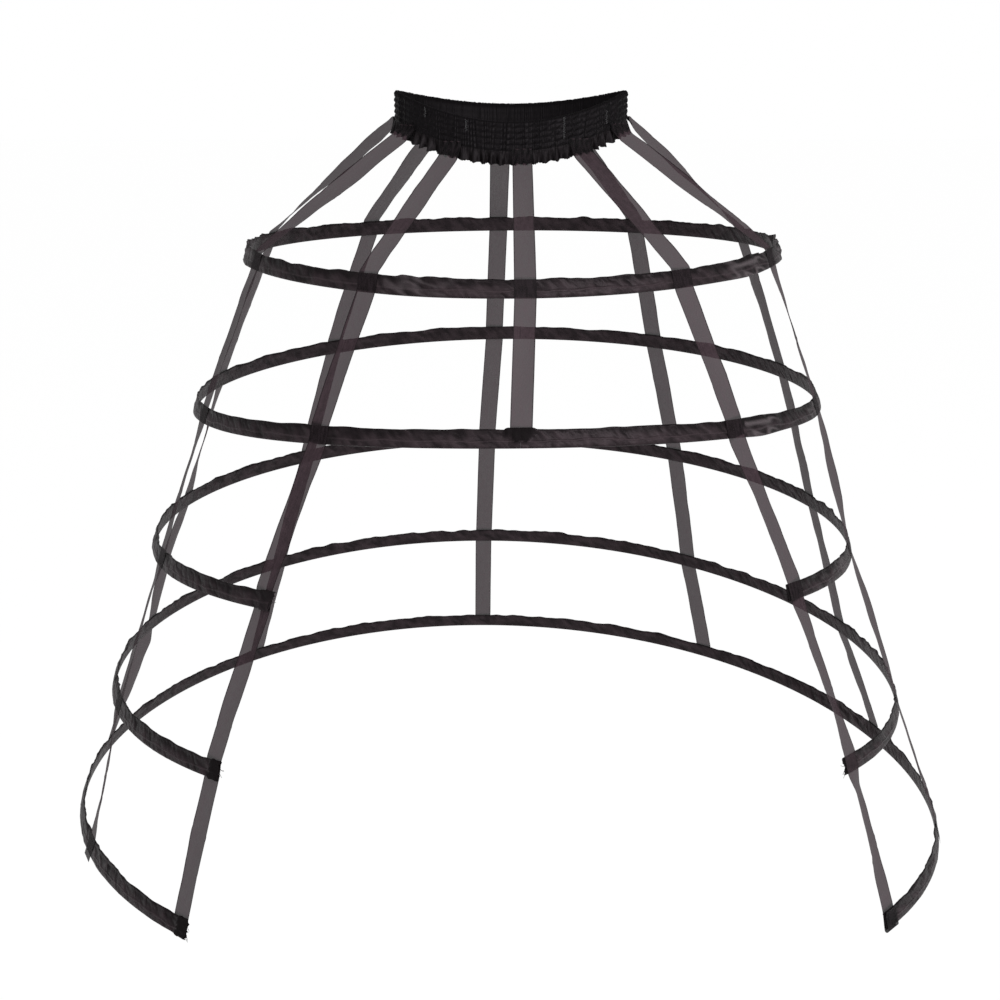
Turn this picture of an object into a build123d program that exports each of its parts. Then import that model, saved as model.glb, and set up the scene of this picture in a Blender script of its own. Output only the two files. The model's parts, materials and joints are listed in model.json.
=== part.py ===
from build123d import *
import os
from collections import namedtuple
from math import atan2, ceil, cos, degrees, floor, radians, sin, sqrt

# Costume crinoline cage: ten organza tapes hang from a shirred satin waistband and carry five boned
# hoops in satin casings. The two upper hoops are closed, the three lower ones stop at the front tapes.
# The origin is the middle of the waist opening, +Z is up and the front faces -Y.
# Left and right are as seen from the front, so +X is to the right. All lengths are in millimetres.

# Waist oval, measured along the middle of the band, and the saddle line of its top edge
WAIST_HALF_WIDTH = 133.0
WAIST_HALF_DEPTH = 85.0
WAIST_RISE = 34.0
FRONT_DIP = 33.0
BACK_DIP = 16.0

# Waistband: satin gathered over a wide elastic, with a fluted frill below the lowest stitch row
BAND_HEIGHT = 32.0
SATIN_THICKNESS = 1.5
GATHER_DEPTH = 0.7
FRILL_HEIGHT = 14.5
FRILL_THICKNESS = 1.2
FRILL_FLARE = 5.0
FLUTE_DEPTH = 3.5
FLUTE_COUNT = 58
ELASTIC_THICKNESS = 1.0
ELASTIC_MARGIN = 4.0
ELASTIC_CLEARANCE = 0.2

# Hoops: radius of the casing's outer face at its middle, drop below the origin, shift to the right, and how
# far the tapes lift its front and its back out of the plane that its sides hang in
HOOP_1_RADIUS = 315.0
HOOP_2_RADIUS = 375.5
HOOP_3_RADIUS = 427.0
HOOP_4_RADIUS = 490.0
HOOP_5_RADIUS = 544.0
HOOP_1_DROP = 145.0
HOOP_2_DROP = 320.5
HOOP_3_DROP = 490.5
HOOP_4_DROP = 674.0
HOOP_5_DROP = 833.0
HOOP_1_SHIFT = 1.5
HOOP_2_SHIFT = -4.5
HOOP_3_SHIFT = -10.0
HOOP_4_SHIFT = -5.0
HOOP_5_SHIFT = 0.5
HOOP_1_FRONT_LIFT = -9.5
HOOP_2_FRONT_LIFT = 26.0
HOOP_3_FRONT_LIFT = 24.0
HOOP_4_FRONT_LIFT = 29.5
HOOP_5_FRONT_LIFT = 17.0
HOOP_1_BACK_LIFT = -2.0
HOOP_2_BACK_LIFT = 10.5
HOOP_3_BACK_LIFT = 11.0
HOOP_4_BACK_LIFT = 20.0
HOOP_5_BACK_LIFT = 16.0
HOOP_SIDES = 72
CLOSED_HOOPS = 2

# Angles in degrees: how far each hoop hangs out of level, the lean of every casing, and the small step round
# the waist or a hoop that shows which way its edge runs
HOOP_ROLLS = (0.3, 0.4, -0.5, -1.5, -1.9)
CASING_LEAN = 18.0
EDGE_STEP = 1.0
BACK_TURN = 180.0
FULL_TURN = 360.0

# Boning: a flat strip with a crimped sleeve where a closed hoop meets itself, and a cap on a free end
BONE_HEIGHT = 8.0
BONE_THICKNESS = 0.6
BONE_CLEARANCE = 0.1
SLEEVE_WALL = 0.2
SLEEVE_LENGTH = 40.0
CAP_LENGTH = 12.0

# Casing: two layers of satin that draw together above the bone into a ruffled upper edge
CASING_WALL = 0.4
CASING_TAPER = 8.0
SEAM_HEIGHT = 2.0
RUFFLE_HEIGHT = 2.0
RUFFLE_RATE = 27.5
END_SEAM = 5.0
FLUSH_LAP = 1.5
FRAYED_LAP = 2.5

# Organza tape: lapped over the waistband's lowest stitch row, and sewn down or turned up at its last hoop
TAPE_WIDTH = 25.0
TAPE_THICKNESS = 0.4
TAPE_SEAT = 0.1
TAPE_LAP = 3.0
TAPE_TAB = 7.0
TAPE_TURN_UP = 19.0
SHORT_END_SHARE = 0.2
RUN_SHARES = (0.12, 0.4, 0.7)

# Tapes: angle round the waist, angle at each hoop that the tape crosses, twist of each run at its run shares,
# hoops that it passes inside, and the way that it ends
Tape = namedtuple("Tape", "waist turns twists inside end")
LEVEL = (0, 0, 0)
FLAT = (LEVEL, LEVEL, LEVEL, LEVEL, LEVEL)
FRONT_RIGHT_TWISTS = (LEVEL, LEVEL, (-4, -10, -10), (-8, -14, -14), (-18, -14, -4))
LEFT_FRONT_TWISTS = ((-10, -16, -8), LEVEL, LEVEL, LEVEL, (6, 20, 14))
LEFT_BACK_TWISTS = ((-50, -52, -34), LEVEL, (-8, -18, -14), LEVEL, LEVEL)
RIGHT_FRONT_TWISTS = ((6, 14, 6), (-5, -12, -9), (6, 14, 12), (6, 12, 10), LEVEL)
RIGHT_BACK_TWISTS = ((38, 38, 22), LEVEL, LEVEL, LEVEL, LEVEL)
OVER_ALL = ()
UNDER_OPEN_HOOPS = (2, 3, 4)
UNDER_LAST_HOOP = (4,)
TAPES = {
    "front_centre": Tape(5, (2, 2), FLAT, OVER_ALL, "short"),
    "front_left": Tape(-30, (-28.5, -31, -36, -39.5, -40.5), FLAT, UNDER_OPEN_HOOPS, "flush"),
    "front_right": Tape(35, (33.5, 39, 47.5, 50, 50), FRONT_RIGHT_TWISTS, UNDER_LAST_HOOP, "turned up"),
    "left_side_front": Tape(-61, (-65, -66, -66.5, -68, -64.5), LEFT_FRONT_TWISTS, OVER_ALL, "tab"),
    "left_side_back": Tape(-102, (-107, -103.5, -103.5, -102, -96.5), LEFT_BACK_TWISTS, OVER_ALL, "flush"),
    "right_side_front": Tape(63, (66, 71.5, 76, 77, 77), RIGHT_FRONT_TWISTS, OVER_ALL, "tab"),
    "right_side_back": Tape(98, (112, 108, 106, 108.5, 108), RIGHT_BACK_TWISTS, OVER_ALL, "flush"),
    "back_left": Tape(-137, (-143, -140, -138.5, -136, -134), FLAT, OVER_ALL, "flush"),
    "back_right": Tape(145, (147.5, 146, 143.5, 145, 145), FLAT, OVER_ALL, "flush"),
    "back_centre": Tape(-175, (-177, -177.5, -177, -176, -175.5), FLAT, OVER_ALL, "flush"),
}

# Sizes that follow from those above
BAND_THICKNESS = ELASTIC_THICKNESS + 2 * (ELASTIC_CLEARANCE + SATIN_THICKNESS)
FRILL_DROP = BAND_HEIGHT + FRILL_HEIGHT
POCKET_GAP = SLEEVE_WALL + BONE_CLEARANCE
POCKET_HEIGHT = POCKET_GAP + BONE_HEIGHT + CASING_TAPER
POCKET_DEPTH = (BONE_THICKNESS + 2 * POCKET_GAP) * POCKET_HEIGHT / CASING_TAPER
CASING_HEIGHT = CASING_WALL + POCKET_HEIGHT + SEAM_HEIGHT
CASING_TOP_DEPTH = 2 * CASING_WALL
CASING_FOOT_DEPTH = CASING_TOP_DEPTH + POCKET_DEPTH
TAPE_STAND = TAPE_SEAT + TAPE_THICKNESS / 2
TAPE_END_DROPS = {
    "short": CASING_HEIGHT * SHORT_END_SHARE,
    "flush": CASING_HEIGHT / 2,
    "tab": CASING_HEIGHT / 2 + TAPE_TAB,
}

Hoop = namedtuple("Hoop", "radius drop shift front_lift back_lift roll")
HOOPS = (
    Hoop(HOOP_1_RADIUS, HOOP_1_DROP, HOOP_1_SHIFT, HOOP_1_FRONT_LIFT, HOOP_1_BACK_LIFT, HOOP_ROLLS[0]),
    Hoop(HOOP_2_RADIUS, HOOP_2_DROP, HOOP_2_SHIFT, HOOP_2_FRONT_LIFT, HOOP_2_BACK_LIFT, HOOP_ROLLS[1]),
    Hoop(HOOP_3_RADIUS, HOOP_3_DROP, HOOP_3_SHIFT, HOOP_3_FRONT_LIFT, HOOP_3_BACK_LIFT, HOOP_ROLLS[2]),
    Hoop(HOOP_4_RADIUS, HOOP_4_DROP, HOOP_4_SHIFT, HOOP_4_FRONT_LIFT, HOOP_4_BACK_LIFT, HOOP_ROLLS[3]),
    Hoop(HOOP_5_RADIUS, HOOP_5_DROP, HOOP_5_SHIFT, HOOP_5_FRONT_LIFT, HOOP_5_BACK_LIFT, HOOP_ROLLS[4]),
)
LAST_HOOP = len(HOOPS) - 1


# Flat facets


def facet(*spots):
    return Face(Wire.make_polygon(spots))


def facet_solid(sections, ring):
    """Solid of flat facets through a row of like sections, joined into a ring or closed at both ends."""
    faces = [] if ring else [facet(*sections[0]), facet(*sections[-1])]
    followers = sections[1:] + sections[:1] if ring else sections[1:]
    for near, far in zip(sections, followers):
        sides = zip(near, near[1:] + near[:1], far, far[1:] + far[:1])
        for count, (near_start, near_stop, far_start, far_stop) in enumerate(sides):
            # Both faces of a thin strip are split along the same diagonal, which keeps its thickness even
            if count < len(near) / 2:
                faces.append(facet(near_start, near_stop, far_stop))
                faces.append(facet(near_start, far_stop, far_start))
            else:
                faces.append(facet(near_start, near_stop, far_start))
                faces.append(facet(near_stop, far_stop, far_start))
    return Solid(Shell(faces))


# Waist


def waist_point(turn, drop, out):
    """Point at a drop below the band's top edge and a distance outside the waist oval."""
    angle = radians(turn)
    outward = Vector(sin(angle) / WAIST_HALF_WIDTH, -cos(angle) / WAIST_HALF_DEPTH, 0).normalized()
    dip = FRONT_DIP if cos(angle) > 0 else BACK_DIP
    height = WAIST_RISE - dip * cos(angle) ** 2 - drop
    spot = Vector(WAIST_HALF_WIDTH * sin(angle), -WAIST_HALF_DEPTH * cos(angle), height)
    return spot + outward * out


def waist_turns(count):
    """Angles that divide the waist oval into equal lengths."""
    oval = Edge.make_ellipse(WAIST_HALF_WIDTH, WAIST_HALF_DEPTH)
    spots = [oval @ (step / count) for step in range(count)]
    return [degrees(atan2(spot.X / WAIST_HALF_WIDTH, -spot.Y / WAIST_HALF_DEPTH)) for spot in spots]


def band_section(turn, side):
    """Section of the waistband on an outward fold of the gathers (side 1) or an inward one (side -1)."""
    face = BAND_THICKNESS / 2
    gathered = face + side * GATHER_DEPTH
    flute = FRILL_FLARE + side * FLUTE_DEPTH
    return [
        waist_point(turn, 0, gathered),
        waist_point(turn, BAND_HEIGHT, gathered),
        waist_point(turn, FRILL_DROP, flute + FRILL_THICKNESS / 2),
        waist_point(turn, FRILL_DROP, flute - FRILL_THICKNESS / 2),
        waist_point(turn, BAND_HEIGHT, -face),
        waist_point(turn, 0, -face),
    ]


def elastic_ring(clearance):
    """Wide elastic inside the band, or with a clearance the space that it lies in."""
    face = ELASTIC_THICKNESS / 2 + clearance
    top = ELASTIC_MARGIN - clearance
    foot = BAND_HEIGHT - ELASTIC_MARGIN + clearance
    corners = ((top, face), (foot, face), (foot, -face), (top, -face))
    turns = waist_turns(FLUTE_COUNT)
    return facet_solid([[waist_point(turn, drop, out) for drop, out in corners] for turn in turns], True)


def waistband():
    turns = waist_turns(2 * FLUTE_COUNT)
    cover = facet_solid([band_section(turn, (-1) ** step) for step, turn in enumerate(turns)], True)
    return cover - elastic_ring(ELASTIC_CLEARANCE)


# Hoops


def hoop_plane(hoop):
    roll = radians(hoop.roll)
    axis, side = (-sin(roll), 0, cos(roll)), (cos(roll), 0, sin(roll))
    return Plane((hoop.shift, 0, -hoop.drop), x_dir=side, z_dir=axis)


def hoop_lift(hoop, turn):
    """Height of a hoop above its plane, which grows from its sides to its front and its back."""
    front_share = cos(radians(turn))
    return (hoop.front_lift if front_share > 0 else hoop.back_lift) * front_share ** 2


def hoop_point(hoop, turn, down, out, share):
    """Point down and out from the middle of a hoop's leaning outer face, at a share of the radius."""
    lean, angle = radians(CASING_LEAN), radians(turn)
    radius = share * (hoop.radius + down * sin(lean) + out * cos(lean))
    height = hoop_lift(hoop, turn) + out * sin(lean) - down * cos(lean)
    return hoop_plane(hoop).from_local_coords(Vector(radius * sin(angle), -radius * cos(angle), height))


def side_share(turn):
    """Share of a hoop's radius that its straight sides reach at an angle."""
    half = FULL_TURN / HOOP_SIDES / 2
    return cos(radians(half)) / cos(radians(turn % (2 * half) - half))


def side_turns(start, stop):
    """Angles of a strip's two ends, and of the corners of a hoop's straight sides that lie between them."""
    step = FULL_TURN / HOOP_SIDES
    return [start] + [corner * step for corner in range(floor(start / step) + 1, ceil(stop / step))] + [stop]


def ring_turns():
    return [corner * FULL_TURN / HOOP_SIDES for corner in range(HOOP_SIDES)]


def hoop_section(hoop, turn, corners):
    return [hoop_point(hoop, turn, down, out, side_share(turn)) for down, out in corners]


def strip(hoop, corners, turns):
    """Section with (down, out) corners led along a hoop's straight sides, right round or between two ends."""
    return facet_solid([hoop_section(hoop, turn, corners) for turn in turns], turns == ring_turns())


def casing_corners(turn):
    """Section of a casing, whose sewn upper edge rises and falls round the hoop."""
    ruffle_share = (1 + sin(radians(turn * RUFFLE_RATE))) / 2
    top = -CASING_HEIGHT / 2 - RUFFLE_HEIGHT * ruffle_share
    foot = CASING_HEIGHT / 2
    return (top, 0), (foot, 0), (foot, -CASING_FOOT_DEPTH), (top, -CASING_TOP_DEPTH)


def pocket_corners():
    foot = CASING_HEIGHT / 2 - CASING_WALL
    return (foot - POCKET_HEIGHT, -CASING_WALL), (foot, -CASING_WALL), (foot, -CASING_WALL - POCKET_DEPTH)


def bone_corners(wall):
    """Section of the flat bone, or of a sleeve with a wall round it."""
    foot = CASING_HEIGHT / 2 - CASING_WALL - POCKET_GAP + wall
    top = foot - BONE_HEIGHT - 2 * wall
    front = wall - CASING_WALL - POCKET_GAP
    back = front - BONE_THICKNESS - 2 * wall
    return (top, front), (foot, front), (foot, back), (top, back)


def casing(hoop, turns, pocket):
    """Puckered tube of satin round the pocket that the bone lies in."""
    sections = [hoop_section(hoop, turn, casing_corners(turn)) for turn in turns]
    return facet_solid(sections, turns == ring_turns()) - pocket


def closed_hoop(number):
    hoop = HOOPS[number]
    sleeve_arc = degrees(SLEEVE_LENGTH / hoop.radius)
    bone = strip(hoop, bone_corners(0), ring_turns())
    pocket = strip(hoop, pocket_corners(), ring_turns())
    sleeve_turns = side_turns(BACK_TURN - sleeve_arc / 2, BACK_TURN + sleeve_arc / 2)
    return {
        "casing": casing(hoop, ring_turns(), pocket),
        "bone": bone,
        "bone_sleeve": strip(hoop, bone_corners(SLEEVE_WALL), sleeve_turns) - bone,
    }


def casing_ends(number):
    """Angles of an open casing's right and left end, which lap past the edges of the two front tapes."""
    radius = HOOPS[number].radius
    right_lap = FLUSH_LAP if number == LAST_HOOP else FRAYED_LAP
    right = TAPES["front_right"].turns[number] - degrees((TAPE_WIDTH / 2 + right_lap) / radius)
    left = TAPES["front_left"].turns[number] + degrees((TAPE_WIDTH / 2 + FLUSH_LAP) / radius)
    return right, left + FULL_TURN


def open_hoop(number):
    hoop = HOOPS[number]
    right, left = casing_ends(number)
    seam = degrees(END_SEAM / hoop.radius)
    room = seam + degrees(BONE_CLEARANCE / hoop.radius)
    inset = room + degrees(SLEEVE_WALL / hoop.radius)
    cap_arc = degrees(CAP_LENGTH / hoop.radius)
    bone = strip(hoop, bone_corners(0), side_turns(right + inset, left - inset))
    pocket = strip(hoop, pocket_corners(), side_turns(right + seam, left - seam))
    right_turns = side_turns(right + room, right + room + cap_arc)
    left_turns = side_turns(left - room - cap_arc, left - room)
    return {
        "casing": casing(hoop, side_turns(right, left), pocket),
        "bone": bone,
        "right_bone_cap": strip(hoop, bone_corners(SLEEVE_WALL), right_turns) - bone,
        "left_bone_cap": strip(hoop, bone_corners(SLEEVE_WALL), left_turns) - bone,
    }


# Tapes


def hoop_station(hoop, turn, down, out):
    """Place of a tape on a hoop's section, with the direction along the hoop."""
    ahead, behind = (hoop_point(hoop, turn + step, down, out, 1) for step in (EDGE_STEP, -EDGE_STEP))
    return hoop_point(hoop, turn, down, out, 1), (ahead - behind).normalized()


def waist_station(turn, drop, out):
    """Place on the waistband's outside, with the direction along its edge."""
    along = waist_point(turn + EDGE_STEP, drop, out) - waist_point(turn - EDGE_STEP, drop, out)
    return waist_point(turn, drop, out), along.normalized()


def inner_stand(hoop):
    """Distance of a flat tape's middle from the casing's hollow inner face, clear of its straight sides."""
    hollow = hoop.radius - sqrt(hoop.radius ** 2 - (TAPE_WIDTH / 2) ** 2)
    side_depth = hoop.radius * (1 - cos(radians(FULL_TURN / HOOP_SIDES / 2)))
    return TAPE_STAND + hollow + side_depth


def crossing(hoop, turn, inside, end_drop):
    """Place of a tape above a casing's upper edge, and its place at a drop on the outer or inner face."""
    top = -CASING_HEIGHT / 2 - RUFFLE_HEIGHT
    if inside:
        stand = inner_stand(hoop)
        offsets = (top, -CASING_TOP_DEPTH - stand), (end_drop, -CASING_FOOT_DEPTH - stand)
    else:
        offsets = (top, TAPE_STAND), (end_drop, TAPE_STAND)
    return [hoop_station(hoop, turn, down, out) for down, out in offsets]


def turn_up(hoop, turn):
    """Places where a tape's end comes down inside a casing, goes round its foot and up its outer face."""
    top = -CASING_HEIGHT / 2 - RUFFLE_HEIGHT
    foot = CASING_HEIGHT / 2 + TAPE_STAND
    stand = inner_stand(hoop)
    offsets = (
        (top, -CASING_TOP_DEPTH - stand),
        (foot, -CASING_FOOT_DEPTH - stand),
        (foot, TAPE_STAND),
        (foot - TAPE_TURN_UP, TAPE_STAND),
    )
    return [hoop_station(hoop, turn, down, out) for down, out in offsets]


def run_stations(start, finish, twists):
    """Places along a run between two stations, turned about the run by its twists."""
    run = finish[0] - start[0]
    stations = []
    for share, twist in zip(RUN_SHARES, twists):
        across = (start[1] * (1 - share) + finish[1] * share).normalized()
        stations.append((start[0] + run * share, across.rotate(Axis((0, 0, 0), run), twist)))
    return stations


def tape_stations(tape):
    band_face = BAND_THICKNESS / 2 + GATHER_DEPTH + TAPE_STAND
    frill_face = FRILL_FLARE + FLUTE_DEPTH + FRILL_THICKNESS / 2 + TAPE_STAND
    stations = [
        waist_station(tape.waist, BAND_HEIGHT - TAPE_LAP, band_face),
        waist_station(tape.waist, BAND_HEIGHT, band_face),
        waist_station(tape.waist, FRILL_DROP, frill_face),
    ]
    last = len(tape.turns) - 1
    for number, turn in enumerate(tape.turns):
        end = tape.end if number == last else "flush"
        if end in TAPE_END_DROPS:
            places = crossing(HOOPS[number], turn, number in tape.inside, TAPE_END_DROPS[end])
        else:
            places = turn_up(HOOPS[number], turn)
        stations.extend(run_stations(stations[-1], places[0], tape.twists[number]))
        stations.extend(places)
    return stations


def tape_section(before, station, after):
    """Cross-section of the tape, mitred between the run before a station and the run after it."""
    spot, across = station
    goes = (after - spot).normalized()
    travel = ((spot - before).normalized() + goes).normalized()
    normal = travel.cross(across).normalized()
    square = normal.cross(travel)
    side = across * (TAPE_WIDTH / 2 / square.dot(across))
    face = normal * (TAPE_THICKNESS / 2 / travel.dot(goes))
    return [spot + side + face, spot - side + face, spot - side - face, spot + side - face]


def tape_solid(tape):
    stations = tape_stations(tape)
    spots = [spot for spot, across in stations]
    before = [spots[0] * 2 - spots[1]] + spots[:-1]
    after = spots[1:] + [spots[-1] * 2 - spots[-2]]
    sections = [tape_section(*entry) for entry in zip(before, stations, after)]
    return facet_solid(sections, False)


# Assembly: one file for each piece

os.makedirs("parts", exist_ok=True)
pieces = {"waistband": waistband(), "waist_elastic": elastic_ring(0)}
for index in range(len(HOOPS)):
    hoop_pieces = closed_hoop(index) if index < CLOSED_HOOPS else open_hoop(index)
    for kind, solid in hoop_pieces.items():
        pieces[f"hoop_{index + 1}_{kind}"] = solid
for place, tape in TAPES.items():
    pieces[f"tape_{place}"] = tape_solid(tape)
for name, solid in pieces.items():
    export_step(solid, os.path.join("parts", name + ".step"))
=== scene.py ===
import json
from collections import namedtuple
from functools import partial
from math import cos, pi, radians, sin, tau

import bpy
import numpy as np
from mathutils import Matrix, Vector


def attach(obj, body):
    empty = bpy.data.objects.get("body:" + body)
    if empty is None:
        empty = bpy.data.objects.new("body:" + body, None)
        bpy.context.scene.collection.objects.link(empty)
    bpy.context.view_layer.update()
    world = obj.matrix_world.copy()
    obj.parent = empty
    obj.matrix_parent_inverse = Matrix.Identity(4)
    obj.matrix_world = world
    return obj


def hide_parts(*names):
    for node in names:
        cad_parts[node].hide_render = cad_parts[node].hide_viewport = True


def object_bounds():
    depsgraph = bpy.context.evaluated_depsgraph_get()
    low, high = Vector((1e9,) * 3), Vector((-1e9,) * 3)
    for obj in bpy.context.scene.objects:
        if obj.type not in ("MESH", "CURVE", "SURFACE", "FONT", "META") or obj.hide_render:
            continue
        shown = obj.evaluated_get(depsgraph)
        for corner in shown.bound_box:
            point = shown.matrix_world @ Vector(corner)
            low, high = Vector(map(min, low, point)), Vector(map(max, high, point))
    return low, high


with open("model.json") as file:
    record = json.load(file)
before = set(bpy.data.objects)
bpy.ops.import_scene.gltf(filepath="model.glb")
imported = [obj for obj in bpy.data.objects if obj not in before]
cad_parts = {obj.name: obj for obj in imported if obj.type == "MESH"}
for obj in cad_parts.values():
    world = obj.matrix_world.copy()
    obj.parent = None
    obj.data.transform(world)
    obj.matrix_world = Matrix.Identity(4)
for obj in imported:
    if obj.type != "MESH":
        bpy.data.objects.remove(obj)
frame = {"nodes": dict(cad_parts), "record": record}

cad_box = [list(corner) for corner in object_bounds()]


# Organza tapes
# Ten ribbons of sheer black organza, an inch wide with firm selvedges, are the cage's uprights.
# Each is sewn to the waistband's lowest stitch row, over its frill, and to every hoop on its way to the hem.
# Sizes are in millimetres, apart from the last section's, and meshes are scaled to metres when made.
MM = 0.001
TAPE_WIDTH = 25.0
TAPE_STAND = 0.5
TAPE_INNER_STAND = 1.3
TAPE_LAP = 3.0
TAPE_SPRING = 4.5
SIDE_SPRING_OUT = -4.5
SIDE_SPRING_RISE = 13.0
SIDE_SHARPNESS = 6
SIDE_TURN = 3
TAPE_TAB = 7.0
TAPE_TURN_UP = 19.0
TAPE_LIP = 3.5
TAPE_LIP_STAND = 1.7
TAPE_SAG = 4.5
TAPE_TUCK = 4.0
RUN_SHARES = (0.12, 0.4, 0.7)
DRAWN_IN_SHARES = {"front_centre": 0.9, "front_left": 0.92}
SLACK = {("left_side_back", 3): 12.0, ("left_side_front", 4): 8.0}
TAPE_COLUMNS = 17
TAPE_STEP = 1.5
TAPE_BEND_ROUNDS = 5

# Waves, cupping and creases of a tape where it is free, and the shade painted on it where it is sewn down on
# satin
TAPE_FLUTTER = 0.3
TAPE_CUP = 1.5
BOW_WAVES = (127, 71, 43), (1.0, 0.6, 0.35)
ROCK_WAVES = (149, 83, 37), (1.3, 0.8, 0.3)
CUP_WAVES = (170, 61), (0.9, 0.5)
ROCK_SEED = 50
CUP_SEED = 99
CREASE_SEED = 300
CREASE_GAP = 55.0
CREASE_WIDTH = 2.2
CREASE_SLANT = 14.0
CREASE_DEPTH = 0.45
FREE_REACH = (4, 45)
LAID_EDGE = (-0.8, 1.6)
HOOP_SHADE = 0.82
LAP_SHADES = {("front_right", 3): 0.4, ("front_right", 4): 1.0}
SCALLOP_DEPTH = 1.3
FRILL_WAVE = 1.6
FRILL_FADE = 8.0

# The waistband and the casings that the tapes are sewn to
WAIST_HALF_WIDTH = 133.0
WAIST_HALF_DEPTH = 85.0
WAIST_RISE = 34.0
FRONT_DIP = 33.0
BACK_DIP = 16.0
BAND_FACE = 2.2
BAND_HEIGHT = 32.0
FRILL_DROP = 46.5
FRILL_REACH = 9.1
GATHER_DEPTH = 0.7
FLUTE_PITCH = 8.5
TAPE_FACE = BAND_FACE + GATHER_DEPTH + TAPE_STAND
CASING_HEIGHT = 18.7
CASING_LEAN = 18.0
CASING_TOP_DEPTH = 0.8
CASING_FOOT_DEPTH = 3.25
RUFFLE_HEIGHT = 2.0
BONE_DROP = 4.65

# Flare is how much further a casing leans behind its right side, about the middle of its bone
Hoop = namedtuple("Hoop", "radius drop shift roll front_lift back_lift flare")
HOOPS = (
    Hoop(315.0, 145.0, 1.5, 0.3, -9.5, -2.0, 0),
    Hoop(375.5, 320.5, -4.5, 0.4, 26.0, 10.5, 0),
    Hoop(427.0, 490.5, -10.0, -0.5, 24.0, 11.0, 0),
    Hoop(490.0, 674.0, -5.0, -1.5, 29.5, 20.0, 0),
    Hoop(544.0, 833.0, 0.5, -1.9, 17.0, 16.0, -17),
)
FLARE_TURN = 114.0
FLARE_SPREAD = 20.0

# Angle round the waist, angle at each hoop, twists of each run at the run's shares, hoops passed inside, and
# the way the tape ends
Tape = namedtuple("Tape", "waist turns twists inside end")
LEVEL = (0, 0, 0)
FLAT = (LEVEL,) * 5
FRONT_RIGHT_TWISTS = FLAT[:2] + ((-4, -10, -10), (-8, -14, -14), (-18, -14, -4))
LEFT_FRONT_TWISTS = ((-10, -16, -8), LEVEL, (6, 10, 6), (8, 12, 6), (6, 20, 14))
LEFT_BACK_TWISTS = ((-50, -42, -24), LEVEL, (-8, -18, -14), (4, 8, 8), (24, 18, 6))
RIGHT_FRONT_TWISTS = ((6, 14, 6), (-5, -12, -9), (6, 14, 12), (6, 12, 10), LEVEL)
RIGHT_BACK_TWISTS = ((38, 38, 22),) + FLAT[1:]
TAPES = {
    "front_centre": Tape(5, (2, 2), FLAT, (), "short"),
    "front_left": Tape(-30, (-28.5, -31, -36, -39.5, -40.5), FLAT, (2, 3, 4), "flush"),
    "front_right": Tape(35, (33.5, 39, 47.5, 50, 50), FRONT_RIGHT_TWISTS, (4,), "turned up"),
    "left_side_front": Tape(-61, (-65, -66, -66.5, -68, -64.5), LEFT_FRONT_TWISTS, (), "tab"),
    "left_side_back": Tape(-102, (-107, -103.5, -103.5, -102, -96.5), LEFT_BACK_TWISTS, (), "flush"),
    "right_side_front": Tape(63, (66, 71.5, 76, 77, 77), RIGHT_FRONT_TWISTS, (), "tab"),
    "right_side_back": Tape(98, (112, 108, 106, 108.5, 108), RIGHT_BACK_TWISTS, (), "flush"),
    "back_left": Tape(-137, (-143, -140, -138.5, -136, -134), FLAT, (), "flush"),
    "back_right": Tape(145, (147.5, 146, 143.5, 145, 145), FLAT, (), "flush"),
    "back_centre": Tape(-175, (-177, -177.5, -177, -176, -175.5), FLAT, (), "flush"),
}
TAPE_END_DROPS = {
    "short": TAPE_TUCK - CASING_HEIGHT / 2, "flush": CASING_HEIGHT / 2, "tab": CASING_HEIGHT / 2 + TAPE_TAB,
}

# A cloth's pattern of noise: how fast it changes across and along the cloth, its slant and its detail
Grain = namedtuple("Grain", "across along slant detail")
ORGANZA_STREAKS = Grain(46, 0.02, 0, 2)
ORGANZA_SLUBS = Grain(5, 0.11, 0, 2)
ORGANZA_WEFT = Grain(1.5, 2.2, 0, 0)
SATIN_BEHIND_SHADE = Grain(8, 0.07, 0, 2)
ORGANZA_COLOURS = (0.0335, 0.0213, 0.0260, 1), (0.065, 0.0415, 0.0505, 1)
SELVEDGE_COLOUR = (0.020, 0.013, 0.0155, 1)
SELVEDGE_SHARES = (0.435, 0.47)
# Painted shade: the colours of a tape where it lies on satin and no light shines through it from behind
LAID_SHADE_COLOURS = (0.0018, 0.0012, 0.0016, 1), (0.0125, 0.0088, 0.0108, 1)
ORGANZA_COVER = 0.928


def unit(vectors):
    return vectors / np.linalg.norm(vectors, axis=-1, keepdims=True)


def smooth_step(low, high, values):
    share = np.clip((values - low) / (high - low), 0, 1)
    return share * share * (3 - 2 * share)


def bell(offset):
    """Smooth hump: 1 at no offset, and next to nothing beyond 2."""
    return np.exp(-offset ** 2)


def waist_points(turn, drop, out):
    """Points at a drop below the waistband's top edge and a distance outside the waist oval."""
    side, front = np.sin(np.radians(turn)), np.cos(np.radians(turn))
    steepness = np.hypot(side / WAIST_HALF_WIDTH, front / WAIST_HALF_DEPTH)
    x = WAIST_HALF_WIDTH * side + out * side / WAIST_HALF_WIDTH / steepness
    y = -WAIST_HALF_DEPTH * front - out * front / WAIST_HALF_DEPTH / steepness
    z = WAIST_RISE - np.where(front > 0, FRONT_DIP, BACK_DIP) * front ** 2 - drop
    return np.stack(np.broadcast_arrays(x, y, z), -1)


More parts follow.
